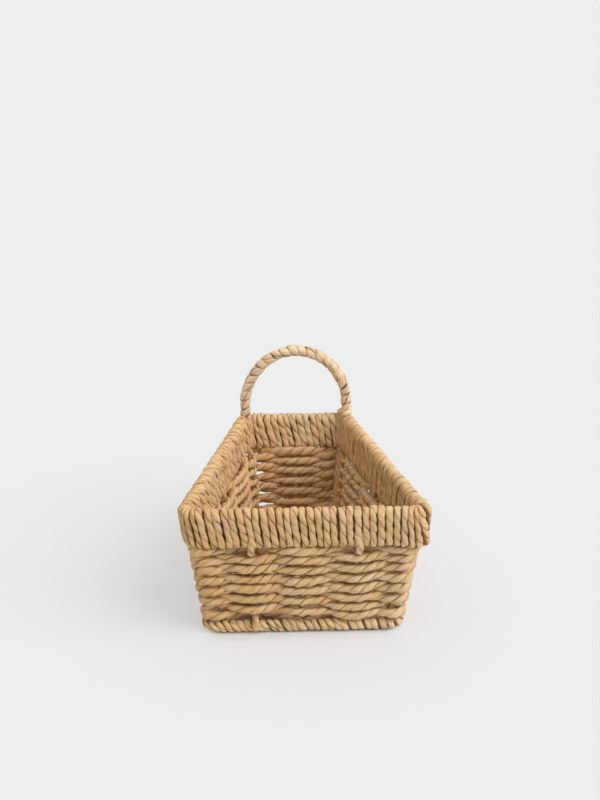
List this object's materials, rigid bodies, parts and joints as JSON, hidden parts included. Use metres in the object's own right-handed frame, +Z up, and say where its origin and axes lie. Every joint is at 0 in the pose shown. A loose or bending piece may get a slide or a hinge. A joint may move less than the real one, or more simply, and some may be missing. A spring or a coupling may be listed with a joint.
{
  "type": "storage basket",
  "caption": "Wedge-shaped woven basket of twisted paper cord on a wire frame, with a wound rim band and an upright arched handle at its narrow back wall.",
  "frame": {"origin": "centre of the footprint of the whole basket, on the surface that it stands on", "axes": "+Z up, -Y towards the wide front wall, +Y towards the narrow back wall with the handle, +X to the right seen from the front"},
  "size_m": [0.1794, 0.2068, 0.167],
  "materials": {
    "winding_cord": "matte",
    "woven_strand": "matte",
    "covered_stave": "matte",
    "wire": "satin"
  },
  "bodies": {
    "root": {"rim_top_wire": "wire", "rim_lower_wire": "wire", "handle_wire": "wire", "base_stake_1": "wire", "base_stake_2": "wire", "base_stake_3": "wire", "stave_front_left": "covered_stave", "stave_front_right": "covered_stave", "stave_back_right": "covered_stave", "stave_back_left": "covered_stave", "stave_front_1": "covered_stave", "stave_front_2": "covered_stave", "stave_front_3": "covered_stave", "stave_right_1": "covered_stave", "stave_right_2": "covered_stave", "stave_right_3": "covered_stave", "stave_back_1": "covered_stave", "stave_left_1": "covered_stave", "stave_left_2": "covered_stave", "stave_left_3": "covered_stave", "wall_row_01": "woven_strand", "wall_row_02": "woven_strand", "wall_row_03": "woven_strand", "wall_row_04": "woven_strand", "wall_row_05": "woven_strand", "wall_row_06": "woven_strand", "wall_row_07": "woven_strand", "wall_row_08": "woven_strand", "wall_row_09": "woven_strand", "wall_row_10": "woven_strand", "wall_row_11": "woven_strand", "wall_row_12": "woven_strand", "wall_row_13": "woven_strand", "base_strand": "woven_strand", "rim_winding_front": "winding_cord", "rim_winding_right": "winding_cord", "rim_winding_back": "winding_cord", "rim_winding_left": "winding_cord", "bottom_edge": "winding_cord", "handle_winding": "winding_cord", "handle_foot_lashing": "winding_cord"}
  },
  "joints": []
}
